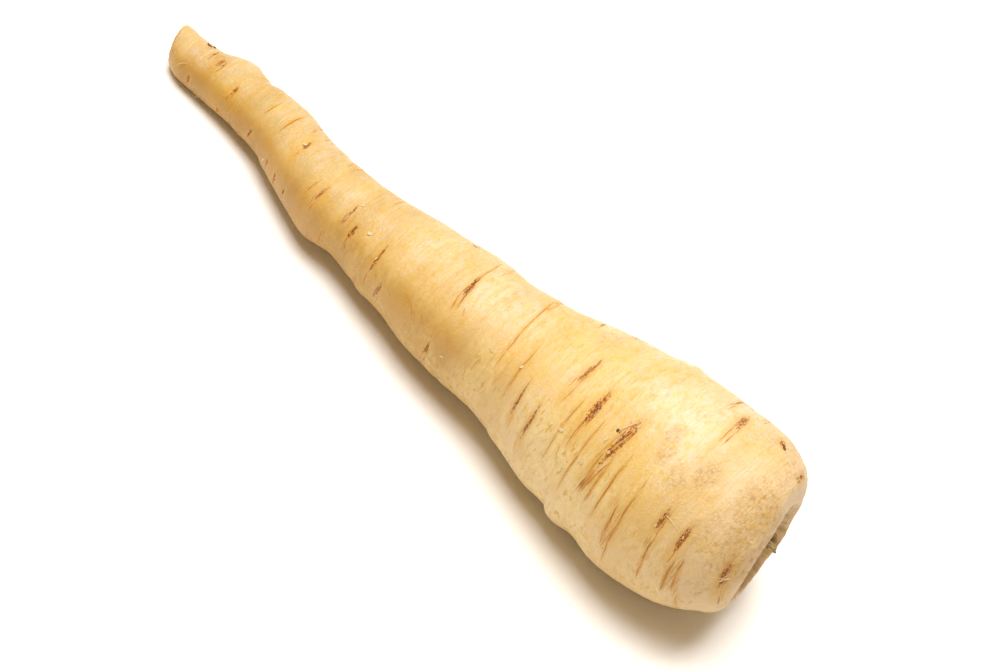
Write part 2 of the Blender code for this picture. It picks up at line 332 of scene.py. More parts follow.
class Marks:
    """The mark that each point of the skin lies in, and how deep the marks are cut there."""

    def __init__(self, growth, marks, reach):
        count = len(growth.x)
        self.place = np.full((count, 3), FAR)  # mm across the mark, mm along it, strength
        self.place[:, 2] = 0.0
        self.size = np.ones((count, 3))  # half-width in mm, half-length in mm, seed
        self.depth = np.zeros(count)
        for number, mark in enumerate(marks):
            self.add(growth, mark, number, reach)

    def add(self, growth, mark, number, reach):
        """Strength is full inside a mark, and fades out within reach mm of it."""
        x, angle, length, width, skew, deepest, darkness = mark
        along = growth.radius / MM * np.radians(growth.from_angle(angle)) / (length / 2)
        across = growth.x / MM - x - skew / 2 * along
        near = (np.abs(across) < width / 2 + reach) & (np.abs(along) < 1.0 + FADE)
        if x < CROWN_MM:
            near &= growth.radius > CORE_RADIUS
        outside = np.maximum(np.abs(across) - width / 2, 0) / reach
        beyond = np.maximum(np.abs(along) - 1.0, 0) / FADE
        strength = darkness * ramp(np.maximum(outside, beyond), 1.0, 0.0)
        here = near & (strength > self.place[:, 2])
        self.place[here] = np.stack([across, along * length / 2, strength], axis=1)[here]
        self.size[here] = (width / 2, length / 2, number * SEED_STEP)
        oval = (across / (width / 2)) ** 2 + (CUT_SHORTER * along + CUT_SHIFT) ** 2
        rim = RIM_SHARE * np.exp(-RIM_STEEP * (np.sqrt(oval) - RIM_AT) ** 2)
        self.depth += np.where(near, deepest * (np.exp(-CUT_STEEP * oval) - rim), 0.0)

    def keep(self, mesh, name):
        store(mesh, name, *self.place.T)
        store(mesh, name + "_size", *self.size.T)


HALF_LENGTH_MM = 112  # of the root
BARE_STRETCH = (-100, 102)  # mm along the root
BARE_SIDES = (195, 425)  # degrees round it: the back and the underside
TIP_SHARE = 0.35  # the size of a mark at the tip, as a share of one at the crown
LENGTHS = (0.35, 1.0)  # of the scattered marks, as shares of the longest
WIDTHS = (0.5, 1.0)
DARKNESSES = (0.5, 1.0)
SKEW_OF_LENGTH = (-0.08, 0.08)
DEPTH_OF_WIDTH = 0.12


def scattered(count, seed, longest, widest, darkest):
    """Marks for the sides that the lists leave bare, in the same columns, larger at the crown."""
    chance = random.Random(seed)
    made = []
    while len(made) < count:
        x = chance.uniform(*BARE_STRETCH)
        angle = chance.uniform(*BARE_SIDES) % 360
        grow = TIP_SHARE + (1 - TIP_SHARE) * (x + HALF_LENGTH_MM) / (2 * HALF_LENGTH_MM)
        length = chance.uniform(*LENGTHS) * longest * grow
        width = chance.uniform(*WIDTHS) * widest * grow
        skew = chance.uniform(*SKEW_OF_LENGTH) * length
        darkness = chance.uniform(*DARKNESSES) * darkest
        made.append((x, angle, length, width, skew, DEPTH_OF_WIDTH * width, darkness))
    return tuple(made)


HIDDEN_SCARS = scattered(count=34, seed=5, longest=18, widest=2.0, darkest=0.95)
HIDDEN_CRACKS = scattered(count=60, seed=8, longest=20, widest=0.9, darkest=0.9)

# --- the root

# Girdle wrinkles: waves per metre along the root, how much they change round it, offset, height mm.
GIRDLES = ((90, 0.9, 0, 0.24), (420, 1.6, 7, 0.07))

HOLLOW_LENGTH = 14 * MM  # the end of the root that the hollow lies in
HOLLOW_RADIUS = 15 * MM
HOLLOW_FLOOR_RADIUS = 12 * MM
HOLLOW_FLOOR_DEPTH = 5 * MM
WALL_FACING = (-0.25, 0.25)  # how squarely skin faces the middle, where the hollow begins
HOLLOW_FLOOR_FACING = 0.8  # how squarely it faces out of the hollow, on the floor
DRY_SKIN = (34 * MM, 8 * MM)  # from the crown's end, where dry skin begins and where it is full
TIP_LENGTH = 8 * MM
TIP_FACING = (0.36, 0.66)  # how squarely skin faces out of the tip, on the cut

RIB_SPREAD = 20  # turns a radius in metres into ribs that change little along their length
RIB_DENSITY = 9.0
SPOKE_SCALE = 10  # brings a radius in metres near the size of a cosine
RIB_HEIGHT = 0.22  # mm
CRUST_HEIGHT = 0.14  # mm, on the dry crown
CRUST_GRAIN = (500, 3)  # features per metre, and how many octaves
GRIT_HEIGHT = 0.03  # mm, all over
GRIT_GRAIN = (900, 2)
CUT_HEIGHT = 0.12  # mm, on the cut tip
RESTING = (0.2 * MM, 1.7 * MM)  # below the first height the skin is flat, above the second free


def girdle_relief(growth):
    """Low wrinkles that run round the root, in millimetres out from the skin."""
    still = np.zeros(len(growth.x))
    along = np.stack([growth.x, still, still], axis=1)
    around = np.stack([still, growth.across, growth.up], axis=1)
    return sum(
        height * roughness_at(along * per_metre + around * change + offset, 1.0)
        for per_metre, change, offset, height in GIRDLES
    )


def crown_and_tip(growth):
    """(inside the hollow, dry skin near the crown, cut face of the tip), each from 0 to 1."""
    facing_x = growth.facing[:, 0]
    end = growth.x.max()
    inward = -(growth.facing[:, 1] * growth.y + growth.facing[:, 2] * growth.z)
    inward = inward / np.maximum(growth.radius, 0.1 * MM)
    crown = (growth.x > end - HOLLOW_LENGTH) & (growth.radius < HOLLOW_RADIUS)
    hollow = np.where(crown, ramp(inward, *WALL_FACING), 0.0)
    level = crown & (facing_x > HOLLOW_FLOOR_FACING) & (growth.radius < HOLLOW_FLOOR_RADIUS)
    hollow = np.where(level & (growth.x < end - HOLLOW_FLOOR_DEPTH), 1.0, hollow)
    rough = ramp(end - growth.x, *DRY_SKIN)
    near_tip = growth.x < growth.x.min() + TIP_LENGTH
    tip = np.where(near_tip, ramp(-facing_x, *TIP_FACING), 0.0)
    return hollow, rough, tip


def hollow_ribs(growth):
    """Fine ribs that run up the wall of the crown's hollow, in millimetres."""
    spokes = np.stack([growth.across, growth.up, growth.radius * RIB_SPREAD], axis=1)
    return RIB_HEIGHT * roughness_at(spokes, RIB_DENSITY, 2)


def skin_relief(growth, hollow, rough, tip, cuts):
    """How far each point of the skin rises in all, in millimetres."""
    points = growth.points
    grit = roughness_at(points, *GRIT_GRAIN)
    skin = girdle_relief(growth) - dents(growth, CREASES) - sum(cut.depth for cut in cuts)
    skin += rough * CRUST_HEIGHT * roughness_at(points, *CRUST_GRAIN) + GRIT_HEIGHT * grit
    rise = (1 - tip) * (1 - hollow) * skin + hollow * hollow_ribs(growth)
    rise += tip * CUT_HEIGHT * grit
    return rise * ramp(points[:, 2], *RESTING)


def make_root():
    """The root's skin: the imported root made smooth, then wrinkled, scarred, cracked and creased."""
    root = copy_of_node("root", "root_skin")
    apply_modifier(root, "Smooth", "SUBSURF", levels=2, render_levels=2)
    mesh = root.data
    growth = Growth(mesh)
    hollow, rough, tip = crown_and_tip(growth)
    marks = {
        "scars": Marks(growth, SCARS + HIDDEN_SCARS, reach=1.8),
        "cracks": Marks(growth, CRACKS + HIDDEN_CRACKS, reach=0.8),
        "pits": Marks(growth, PITS, reach=2.2),
    }
    rise = skin_relief(growth, hollow, rough, tip, marks.values())
    points = growth.points + growth.facing * (rise * MM)[:, None]
    points[:, 2] = np.maximum(points[:, 2], 0.0)
    move_points(mesh, np.clip(points, np.array(cad_low), np.array(cad_high)))
    marks["blotches"] = Marks(growth, BLOTCHES, reach=4.0)
    for name, kind in marks.items():
        kind.keep(mesh, name)
    store(mesh, "ends", hollow, rough, tip)
    store(mesh, "spokes", growth.across, growth.up, growth.radius * SPOKE_SCALE)
    mesh.shade_smooth()
    mesh.materials.append(skin_material())
    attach(root, BODY)
    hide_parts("root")
    return root, growth


# --- loose hairs, flakes and bark

OUTSIDE = 60 * MM  # from the root's centre, clear of its skin


class Skin:
    """Finds places on the finished skin by their x in mm and their angle round the root."""

    def __init__(self, root, growth):
        self.root = root
        self.growth = growth
        bpy.context.view_layer.update()

    def at(self, x, angle):
        """(place, normal) where a line out from the root's centre leaves the skin."""
        y, z = self.growth.centre_at(x * MM)
        turn = math.radians(angle)
        outward = Vector((0, math.cos(turn), math.sin(turn)))
        start = Vector((x * MM, float(y), float(z))) + outward * OUTSIDE
        _, place, normal, _ = self.root.ray_cast(start, -outward)
        return place, normal

    def above(self, x, angle, lift):
        """The place this many mm out from the skin."""
        place, normal = self.at(x, angle)
        return place + normal * lift * MM


def joined(pieces, name, material):
    """The small pieces as one mesh, with its material, on the root's body."""
    bpy.ops.object.select_all(action="DESELECT")
    for piece in pieces:
        piece.select_set(True)
    bpy.context.view_layer.objects.active = pieces[0]
    bpy.ops.object.join()
    whole = bpy.context.active_object
    whole.name = name
    bpy.ops.object.transform_apply(location=True, rotation=True, scale=True)
    whole.data.shade_smooth()
    whole.data.materials.clear()
    whole.data.materials.append(material)
    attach(whole, BODY)


# Hairs: x mm, angle, how far they run along mm and round degrees, lift mm, thickness mm.
HAIRS = (
    (65, 132, 2.4, -15, 0.35, 0.26),
    (66, 124, -1.2, -9, 0.3, 0.16),
    (88, 147, 6.5, 3, 0.3, 0.18),
    (-5.5, 47, 1.5, -6, 1.3, 0.18),
    (-101, 150, -2.5, 25, 0.6, 0.18),
    (-93, 205, -3, 20, 0.7, 0.18),
    (101.5, 163, 5, 8, 0.35, 0.16),
    (108.5, 158, -3, 7, 0.4, 0.16),
    (39, 158, 3.5, 7, 0.3, 0.15),
    (96, 68, 3, -8, 0.5, 0.18),
    (10, 188, 3, 9, 0.45, 0.16),
    (31, 262, -4, 12, 0.6, 0.18),
    (72, 300, 5, -12, 0.6, 0.2),
    (-48, 330, 3, 22, 0.5, 0.18),
    (-76, 20, -3, 24, 0.5, 0.18),
)

HAIR_CUTS = 3  # between the two ends of a hair
HAIR_STEPS = 5  # of its mesh from one point to the next
HAIR_ARCH = (0.12, 0.8)  # where on an arch a hair starts, and how much it spans
HAIR_ROOTED = 0.2  # mm, how deep its first point lies under the skin
HAIR_BEND = 0.12  # how far it wanders, as a share of its length along the root
HAIR_TAPER = 0.75  # of its thickness, lost towards its loose end


def lay_along_skin(hair, skin, x, angle, along, turn, lift):
    """Lays the points of a hair along the skin, arched over it and thinner towards the end."""
    points = hair.data.splines[0].bezier_points
    start, span = HAIR_ARCH
    for number, point in enumerate(points):
        share = number / (len(points) - 1)
        bend = HAIR_BEND * along * math.sin(2 * math.pi * share + x)
        arch = lift * math.sin(math.pi * (start + span * share))
        if number == 0:
            arch -= HAIR_ROOTED
        point.co = skin.above(x + along * share + bend, angle + turn * share, arch)
        point.handle_left_type = point.handle_right_type = "AUTO"
        point.radius = 1.0 - HAIR_TAPER * share


def make_hairs(skin):
    """Dry side-root hairs that lie loosely along the skin, rooted in it at one end."""
    hairs = []
    for *course, thick in HAIRS:
        bpy.ops.object.select_all(action="DESELECT")
        bpy.ops.curve.primitive_bezier_curve_add(location=(0, 0, 0))
        hair = bpy.context.active_object
        bpy.ops.object.mode_set(mode="EDIT")
        bpy.ops.curve.select_all(action="SELECT")
        bpy.ops.curve.subdivide(number_cuts=HAIR_CUTS)
        bpy.ops.object.mode_set(mode="OBJECT")
        lay_along_skin(hair, skin, *course)
        hair.data.bevel_depth = thick / 2 * MM
        hair.data.bevel_resolution = 1
        hair.data.resolution_u = HAIR_STEPS
        hair.data.use_fill_caps = True
        select_only(hair)
        bpy.ops.object.convert(target="MESH")
        hairs.append(bpy.context.active_object)
    joined(hairs, "root_hairs", hair_material())


# Flakes of dry skin: x mm, angle, length mm, width mm, turn in degrees, lift of the loose edge mm.
FLAKES = (
    (-23.7, 133, 1.3, 0.8, 20, 0.25),
    (24.3, 141, 1.2, 0.8, -40, 0.25),
    (33.8, 136, 1, 0.7, 65, 0.2),
    (53.2, 150, 1.4, 1, 10, 0.25),
    (59.3, 170, 1.2, 0.8, 80, 0.25),
    (62.6, 157, 1.3, 0.9, -20, 0.25),
    (64.2, 137, 1.3, 0.35, 75, 0.3),
    (66.6, 142, 1, 0.4, 100, 0.25),
    (87.6, 155, 0.8, 0.35, 80, 0.25),
    (94.6, 152, 0.8, 0.35, 95, 0.25),
    (107.8, 163, 1.6, 0.5, 60, 0.45),
    (108.6, 160, 1.2, 0.5, 30, 0.4),
    (-17.4, 149, 0.8, 0.3, 85, 0.25),
    (-56.5, 104, 1.2, 0.6, 40, 0.3),
    (-64, 182, 1.2, 0.6, 60, 0.3),
    (84.9, 79, 0.8, 0.35, 80, 0.25),
    (95.5, 66, 1.4, 0.8, 20, 0.5),
    (22, 255, 1.6, 0.9, 30, 0.3),
    (70, 330, 1.8, 1, 70, 0.35),
    (-38, 300, 1.4, 0.8, 50, 0.3),
    (-1.5, 58, 1.6, 1.1, 30, 0.35),
    (51, 163, 0.9, 0.5, 15, 0.2),
    (48.5, 172, 1, 0.5, 70, 0.2),
    (70.5, 166, 0.8, 0.4, 45, 0.2),
    (14, 176, 0.9, 0.5, 10, 0.2),
    (-31, 110, 0.8, 0.5, 50, 0.2),
)

# Scraps of dark bark, with the same columns.
BARK_SCRAPS = (
    (-100.6, 70, 1.6, 0.45, 10, 0.28),
    (-99.4, 63, 1, 0.35, 60, 0.25),
    (96.2, 69, 1.3, 0.7, -30, 0.45),
)

CHIP_COLUMNS, CHIP_ROWS = 6, 4
CHIP_RAGGED = 0.5  # how uneven its outline is
CHIP_GRAIN = 3  # how fine that unevenness is
CHIP_RUMPLED = 0.15  # how far it rises with it, as a share of its lift
CHIP_POINTED = 1.3  # how much narrower it gets towards its two ends
CHIP_CLEAR = 0.02  # mm between the skin and the edge that clings
CHIP_SEED_STEP = 5.3


def shape_chip(chip, skin, seed, x, angle, long, wide, turned, lift):
    """Gives a flat grid a ragged outline, lays it on the skin and curls its loose end up."""
    place, normal = skin.at(x, angle)
    along = Vector((1, 0, 0)).cross(normal).cross(normal).normalized()
    forward = Quaternion(normal, math.radians(turned)) @ along
    side = normal.cross(forward)
    for vertex in chip.data.vertices:
        u, v = vertex.co.x, vertex.co.y
        uneven = noise.noise(Vector((u * CHIP_GRAIN, v * CHIP_GRAIN, seed)))
        ragged = 1 + CHIP_RAGGED * uneven
        across = v * wide * (1 - CHIP_POINTED * u * u) * ragged
        raised = CHIP_CLEAR + lift * (u + 0.5) ** 2 + CHIP_RUMPLED * lift * ragged
        vertex.co = place + (forward * u * long * ragged + side * across + normal * raised) * MM


def make_chips(skin, chips, name, thickness, material):
    """Thin ragged scraps that cling to the skin by one edge and curl up from it at the other."""
    made = []
    for number, columns in enumerate(chips):
        bpy.ops.object.select_all(action="DESELECT")
        bpy.ops.mesh.primitive_grid_add(
            x_subdivisions=CHIP_COLUMNS, y_subdivisions=CHIP_ROWS, size=1.0
        )
        chip = bpy.context.active_object
        shape_chip(chip, skin, number * CHIP_SEED_STEP, *columns)
        apply_modifier(chip, "Wall", "SOLIDIFY", thickness=thickness * MM, offset=0.0)
        made.append(chip)
    joined(made, name, material)


# --- the leaf-stalk stubs

STUB_GRAIN = 0.22 * MM  # the size of the faces of the stubs' mesh
STUB_RIBS = 0.12  # mm
STUB_RIB_GRAIN = np.array([90, 1500, 1500])  # features per metre
STUB_GRIT = 0.06  # mm
STUB_GRIT_GRAIN = (1500, 2)
STUB_TORN = 0.9  # mm, how deep the torn tops are
TORN_ACROSS = np.array([0, 1, 1])  # the tearing is the same all the way down
TORN_FINE = (900, 2)
TORN_FROM = (0.25, 0.45)  # the height where the tearing begins and is full, as a share


def worn_stubs(points, facing, height):
    """The stubs' points, ribbed down their length and torn at the top."""
    ribs = roughness_at(points * STUB_RIB_GRAIN, 1.0)
    ribbed = STUB_RIBS * ribs + STUB_GRIT * roughness_at(points, *STUB_GRIT_GRAIN)
    worn = points + facing * (ribbed * MM)[:, None]
    torn = roughness_at(worn * TORN_ACROSS, *TORN_FINE)
    worn[:, 0] -= np.clip(torn, 0, 1) * ramp(height, *TORN_FROM) * STUB_TORN * MM
    return worn


def make_stubs():
    """The dried leaf-stalk stubs left in the crown's hollow."""
    stubs = copy_of_node("leaf_stubs", "stalk_stubs")
    apply_modifier(stubs, "Solid", "REMESH", mode="VOXEL", voxel_size=STUB_GRAIN)
    apply_modifier(stubs, "Soften", "SMOOTH", factor=0.5, iterations=4)
    mesh = stubs.data
    points = vectors_of(mesh, "co")
    low, high = points[:, 0].min(), points[:, 0].max()
    height = (points[:, 0] - low) / (high - low)
    move_points(mesh, worn_stubs(points, vectors_of(mesh, "normal"), height))
    mesh.shade_smooth()
    store(mesh, "facing", *vectors_of(mesh, "normal").T)
    mesh.materials.append(stub_material())
    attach(stubs, BODY)
    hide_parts("leaf_stubs")


# --- nodes for the materials

BUMP_DEPTH = 0.3 * MM


def wire(tree, kind, inputs=(), **settings):
    """Adds a node, sets its properties and sockets, links any socket given, and returns it."""
    made = tree.nodes.new("ShaderNode" + kind)
    for key, value in settings.items():
        setattr(made, key, value)
    for key, value in dict(inputs).items():
        if isinstance(value, bpy.types.NodeSocket):
            tree.links.new(value, made.inputs[key])
        else:
            made.inputs[key].default_value = value
    return made


def new_material(name, **settings):
    """A material with these settings on its Principled shader: (material, tree, shader)."""
    material = bpy.data.materials.new(name)
    material.use_nodes = True
    tree = material.node_tree
    shader = tree.nodes["Principled BSDF"]
    for key, value in settings.items():
        shader.inputs[key.replace("_", " ")].default_value = value
    return material, tree, shader


def grain(tree, scales, detail=3.0, roughness=0.55):
    """Noise, 0 to 1, on Object coordinates, with this many features per metre along X, Y and Z."""
    place = wire(tree, "TexCoord").outputs["Object"]
    mapped = wire(tree, "Mapping", {"Vector": place, "Scale": scales})
    sockets = {
        "Vector": mapped.outputs["Vector"], "Scale": 1.0, "Detail": detail, "Roughness": roughness
    }
    return wire(tree, "TexNoise", sockets).outputs["Fac"]


def stretch(tree, value, low, high, least=0.0, most=1.0):
    """The value mapped from low..high to least..most, eased and held at the ends."""
    sockets = {"Value": value, 1: low, 2: high, 3: least, 4: most}
    made = wire(tree, "MapRange", sockets, interpolation_type="SMOOTHSTEP")
    return made.outputs["Result"]


def pattern(tree, scales, detail, roughness, low, high, least=0.0, most=1.0):
    """Patches of grain: least where the noise is under low, most where it is over high."""
    return stretch(tree, grain(tree, scales, detail, roughness), low, high, least, most)


def maths(tree, operation, first, second=0.5):
    made = wire(tree, "Math", {0: first, 1: second}, operation=operation)
    return made.outputs["Value"]


def total(tree, value, *others):
    for other in others:
        value = maths(tree, "ADD", value, other)
    return value


def scaled(tree, value, *factors):
    for factor in factors:
        value = maths(tree, "MULTIPLY", value, factor)
    return value


def squared(tree, value):
    return maths(tree, "MULTIPLY", value, value)


def unevenness(tree, amount, scales, detail=3.0, roughness=0.55):
    """Noise about zero, this much from its lowest to its highest."""
    return scaled(tree, total(tree, grain(tree, scales, detail, roughness), -0.5), amount)


def mixed(tree, share, first, second, blend="MIX"):
    """Two colours, each a socket or an RGB triple, mixed by the share."""
    sockets = {
        0: share,
        6: first if isinstance(first, bpy.types.NodeSocket) else (*first, 1.0),
        7: second if isinstance(second, bpy.types.NodeSocket) else (*second, 1.0),
    }
    return wire(tree, "Mix", sockets, data_type="RGBA", blend_type=blend).outputs[2]


def painted(tree, colour, tint, *shares):
    """The colour under a tint as strong as all its shares, sockets or numbers, multiplied."""
    return mixed(tree, scaled(tree, *shares), colour, tint)


def tinted(tree, colour, tint, *shares):
    """The same, with a tint that multiplies the colour."""
    return mixed(tree, scaled(tree, *shares), colour, tint, "MULTIPLY")


def stored(tree, name):
    """The three parts of a vector kept on the mesh."""
    layer = wire(tree, "Attribute", attribute_name=name)
    return wire(tree, "SeparateXYZ", {0: layer.outputs["Vector"]}).outputs


def along_root(tree):
    """Metres along the root, from its middle."""
    place = wire(tree, "TexCoord").outputs["Object"]
    return wire(tree, "SeparateXYZ", {0: place}).outputs["X"]


def bumped(tree, shader, height, strength):
    """Raises the surface by this height, 0 to about 1."""
    sockets = {"Height": height, "Strength": strength, "Distance": BUMP_DEPTH}
    bump = wire(tree, "Bump", sockets)
    tree.links.new(bump.outputs["Normal"], shader.inputs["Normal"])


MARK_WANDER = (0.9, (420, 260, 260))  # mm, and the grain that shifts a mark's middle
RAGGED_EDGE = ((1900, 1100, 1100), 3, 0.7)
CRUMB_GRAIN = ((2300, 1150, 1150), 4, 0.75)
CRUMB_EDGE = (0.49, 0.55)
CRUMB_SPREAD = 0.20  # how fast the crumbs thin out away from the middle of a mark
CRUMB_CLOSE = 0.17  # how close they lie in the middle
STREAK_SEED = 9.0
LINE_EDGE = (1.1, 0.4)
BROKEN_LINE = ((500, 190, 190), 3, 0.55, 0.34, 0.52, 0.25, 1)


class Place:
    """Where a point of the skin lies in its mark: sockets for a material to build on."""

    def __init__(self, tree, name):
        self.tree = tree
        across_mm, self.along_mm, self.strength = stored(tree, name)
        half_width, half_length, self.seed = stored(tree, name + "_size")
        self.along = maths(tree, "DIVIDE", self.along_mm, half_length)
        self.across_mm = total(tree, across_mm, unevenness(tree, *MARK_WANDER))
        self.across = maths(tree, "DIVIDE", self.across_mm, half_width)

    def from_middle(self, wide, long, shift):
        """The square of the way out from the middle of an oval: 0 there, 1 at its edge."""
        tree = self.tree
        across = squared(tree, scaled(tree, self.across, 1 / wide))
        along = squared(tree, scaled(tree, total(tree, self.along, -shift), 1 / long))
        return total(tree, across, along)

    def oval(self, wide, long, shift=0.0, ragged=0.0, soft=0.9):
        """1 inside an oval of these half-widths and half-lengths, 0 outside, with a ragged edge."""
        tree = self.tree
        out = self.from_middle(wide, long, shift)
        if ragged:
            out = total(tree, out, unevenness(tree, ragged, *RAGGED_EDGE))
        return scaled(tree, stretch(tree, out, 1.0 + soft / 2, 1.0 - soft / 2), self.strength)

    def crumbs(self, wide, long, shift):
        """Crumbs that lie close in the middle of an oval and thin out past its edge."""
        tree = self.tree
        sparse = scaled(tree, self.from_middle(wide, long, shift), -CRUMB_SPREAD)
        dense = total(tree, grain(tree, *CRUMB_GRAIN), sparse, CRUMB_CLOSE)
        return scaled(tree, stretch(tree, dense, *CRUMB_EDGE), self.strength)

    def streaks(self, per_mm, stretched, low, high):
        """Parallel hairlines that run the length of the mark, each with its own ends."""
        tree = self.tree
        place = wire(tree, "CombineXYZ", {
            0: scaled(tree, self.across_mm, per_mm),
            1: scaled(tree, self.along_mm, per_mm / stretched),
            2: scaled(tree, self.seed, STREAK_SEED),
        }).outputs["Vector"]
        lines = wire(tree, "TexNoise", {"Vector": place, "Scale": 1.0, "Detail": 1.0})
        return stretch(tree, lines.outputs["Fac"], low, high)

    def middle_line(self, half_width_mm, reach):
        """One line down the middle of the mark, as thin as a hair at its ends."""
        tree = self.tree
        taper = squared(tree, scaled(tree, self.along, 1 / reach))
        off = scaled(tree, maths(tree, "ABSOLUTE", self.across_mm), 1 / half_width_mm)
        line = stretch(tree, total(tree, off, taper), *LINE_EDGE)
        return scaled(tree, line, pattern(tree, *BROKEN_LINE), self.strength)


# --- the skin's material

CREAM = (0.645, 0.483, 0.248)
STRAW = (0.62, 0.41, 0.135)
GOLD = (0.54, 0.30, 0.045)
OCHRE = (0.49, 0.325, 0.105)
BLUSH = (0.62, 0.43, 0.23)
BEIGE = (0.60, 0.43, 0.23)
# partly dry dust, partly painted sheen on the flanks
DUST_AND_SHEEN = (0.72, 0.565, 0.275)
CHALK = (0.70, 0.56, 0.36)
FAWN = (0.46, 0.30, 0.12)
TAN = (0.40, 0.22, 0.07)
UMBER = (0.34, 0.20, 0.07)
GINGER = (0.54, 0.24, 0.015)
AMBER = (0.47, 0.165, 0.001)
RUST = (0.26, 0.066, 0.001)
BARK = (0.09, 0.028, 0.006)

# Tints that multiply a colour.
WARMER = (1.0, 0.95, 0.62)
PALER = (1.0, 1.03, 1.40)
# painted shade: darkens the underside of the slender half
SHADED = (0.82, 0.73, 0.45)
# painted light: makes the top of the root paler
SUNLIT = (1.0, 1.05, 1.25)
# painted shade: darkens bands that ring the slender half
BAND_SHADE = (0.92, 0.88, 0.84)

# Patterns of the clean skin: features per metre along X, Y and Z, detail, roughness, the noise
# where it starts and where it is full, and the least and the most that it gives.
CLOUDS = ((42, 34, 34), 3, 0.55, 0.38, 0.62)
OCHRE_PATCHES = ((110, 80, 80), 4, 0.6, 0.38, 0.62, 0.5, 1)
BLUSHES = ((75, 50, 50), 4, 0.7, 0.5, 0.72, 0, 0.6)
GOLDEN_PATCHES = ((130, 60, 60), 4, 0.65, 0.5, 0.7, 0, 0.48)
MOTTLE = ((600, 330, 330), 5, 0.7, 0.46, 0.7, 0, 0.7)
MOTTLED_AREAS = ((60, 60, 60), 2, 0.55, 0.35, 0.62, 0.3, 1)
BANDS = ((480, 26, 26), 5, 0.65, 0.5, 0.68, 0, 0.6)
BANDED_AREAS = ((36, 40, 40), 2, 0.55, 0.42, 0.6, 0.15, 1)
THREADS = ((1900, 110, 110), 3, 0.55, 0.55, 0.75, 0, 0.45)
POWDER = ((1700, 1300, 1300), 3, 0.7, 0.52, 0.72, 0, 0.6)
TONES = ((620, 420, 420), 5, 0.8)
WARM_TONES = (0.50, 0.64, 0.0, 0.9)
PALE_TONES = (0.50, 0.36, 0.0, 0.9)

# Where on the root a tint begins and is full, with the least and the most of it.
TOWARDS_TIP = (0.045, -0.055)  # metres along the root
SLENDER_END = (0.05, 0.0, 0.15, 1.0)
THICK_END = (-0.05, 0.0, 0.15, 1.0)
FLANKS = (0.55, 0.95)  # cosine of the angle round it
TOP = (0.70, 0.96)  # sine of that angle
UNDERSIDE = (0.74, 0.35)

# Patterns of the flanks, in the same columns: dust that also paints in sheen, and painted shade in
# wrinkles and girdle bands.
FLANK_DUST_AND_SHEEN = ((700, 260, 260), 5, 0.75, 0.36, 0.62, 0.1, 0.65)
DUST_AND_SHEEN_AREAS = ((70, 60, 60), 3, 0.55, 0.36, 0.6, 0.1, 1)
WRINKLE_SHADE = ((900, 300, 300), 2, 0.55, 0.58, 0.66, 0, 0.9)
GIRDLE_SHADES = ((95, 16, 16), 3, 0.6, 0.44, 0.64, 0, 0.9)
SPECKLES = ((1300, 850, 850), 4, 0.8)
WARM_SPECKLES = (0.49, 0.62, 0.0, 0.6)
PALE_SPECKLES = (0.50, 0.38, 0.1, 0.5)
# painted shade: how strongly the slender half's flanks are darkened to gold
FLANK_SHADE = 0.6

# Patterns of the blotches and the crown.
BLOTCH_STIPPLE = ((1100, 800, 800), 5, 0.75, 0.46, 0.64, 0, 0.85)
BLOTCH_GOLD = ((900, 900, 900), 3, 0.6, 0.54, 0.62, 0, 0.7)
DRY_PATCHES = ((110, 110, 110), 4, 0.6, 0.32, 0.58, 0.25, 0.85)
CROWN_STIPPLE = ((1000, 800, 800), 5, 0.8, 0.46, 0.66, 0, 0.85)
STIPPLED_AREAS = ((150, 120, 120), 4, 0.55, 0.46, 0.62, 0.15, 1)
SCURF = ((1300, 900, 900), 4, 0.7, 0.56, 0.72, 0, 0.45)
CUT_FACE = ((900, 900, 900), 4, 0.55, 0.35, 0.6)
RIB_SHADES = (0.34, 0.62)

# Patterns of the cracks and scars, and of the gloss and the finest relief.
CRACK_TINTS = ((500, 200, 200), 2, 0.55, 0.42, 0.58)
SPLIT_TINTS = ((400, 160, 160), 2, 0.55, 0.42, 0.58)
CRUMBS = ((2300, 1500, 1500), 3, 0.75)
CRUMB_COLOURS = ((0.41, 0.49, RUST), (0.49, 0.58, AMBER), (0.6, 0.68, CHALK))
STRANDS = (0.0, 1.0, 0.4, 1.0)
GLOSS = ((240, 160, 160), 4, 0.55, 0.3, 0.7, 0.28, 0.44)
RELIEF_THREADS = ((1500, 70, 70), 4)
PORES = ((1300, 1000, 1000), 4, 0.65)
GRIT = ((3000, 2400, 2400), 3, 0.7)
CRUST = ((2300, 1300, 1300), 3, 0.75)

# Heights of the finest relief, beside the threads' height of 1.
PORE_HEIGHT = 1.2
DUST_HEIGHT = 0.55
CRUMB_HEIGHT = 1.8
SCAR_SINKS = -0.9
CRACK_SINKS = -1.2


def skin_colour(tree):
    """The clean skin: cream and straw in soft clouds, mottled gold, and ochre towards the tip."""
    colour = mixed(tree, pattern(tree, *CLOUDS), STRAW, CREAM)
    deeper = stretch(tree, along_root(tree), *TOWARDS_TIP)
    colour = painted(tree, colour, OCHRE, deeper, pattern(tree, *OCHRE_PATCHES))
    colour = painted(tree, colour, BLUSH, pattern(tree, *BLUSHES))
    colour = painted(tree, colour, GOLD, pattern(tree, *GOLDEN_PATCHES))
    colour = painted(tree, colour, GOLD, pattern(tree, *MOTTLE), pattern(tree, *MOTTLED_AREAS))
    colour = painted(tree, colour, GOLD, pattern(tree, *BANDS), pattern(tree, *BANDED_AREAS))
    colour = painted(tree, colour, TAN, pattern(tree, *THREADS))
    tones = grain(tree, *TONES)
    colour = tinted(tree, colour, WARMER, stretch(tree, tones, *WARM_TONES))
    colour = tinted(tree, colour, PALER, stretch(tree, tones, *PALE_TONES))
    return painted(tree, colour, BLUSH, pattern(tree, *POWDER))


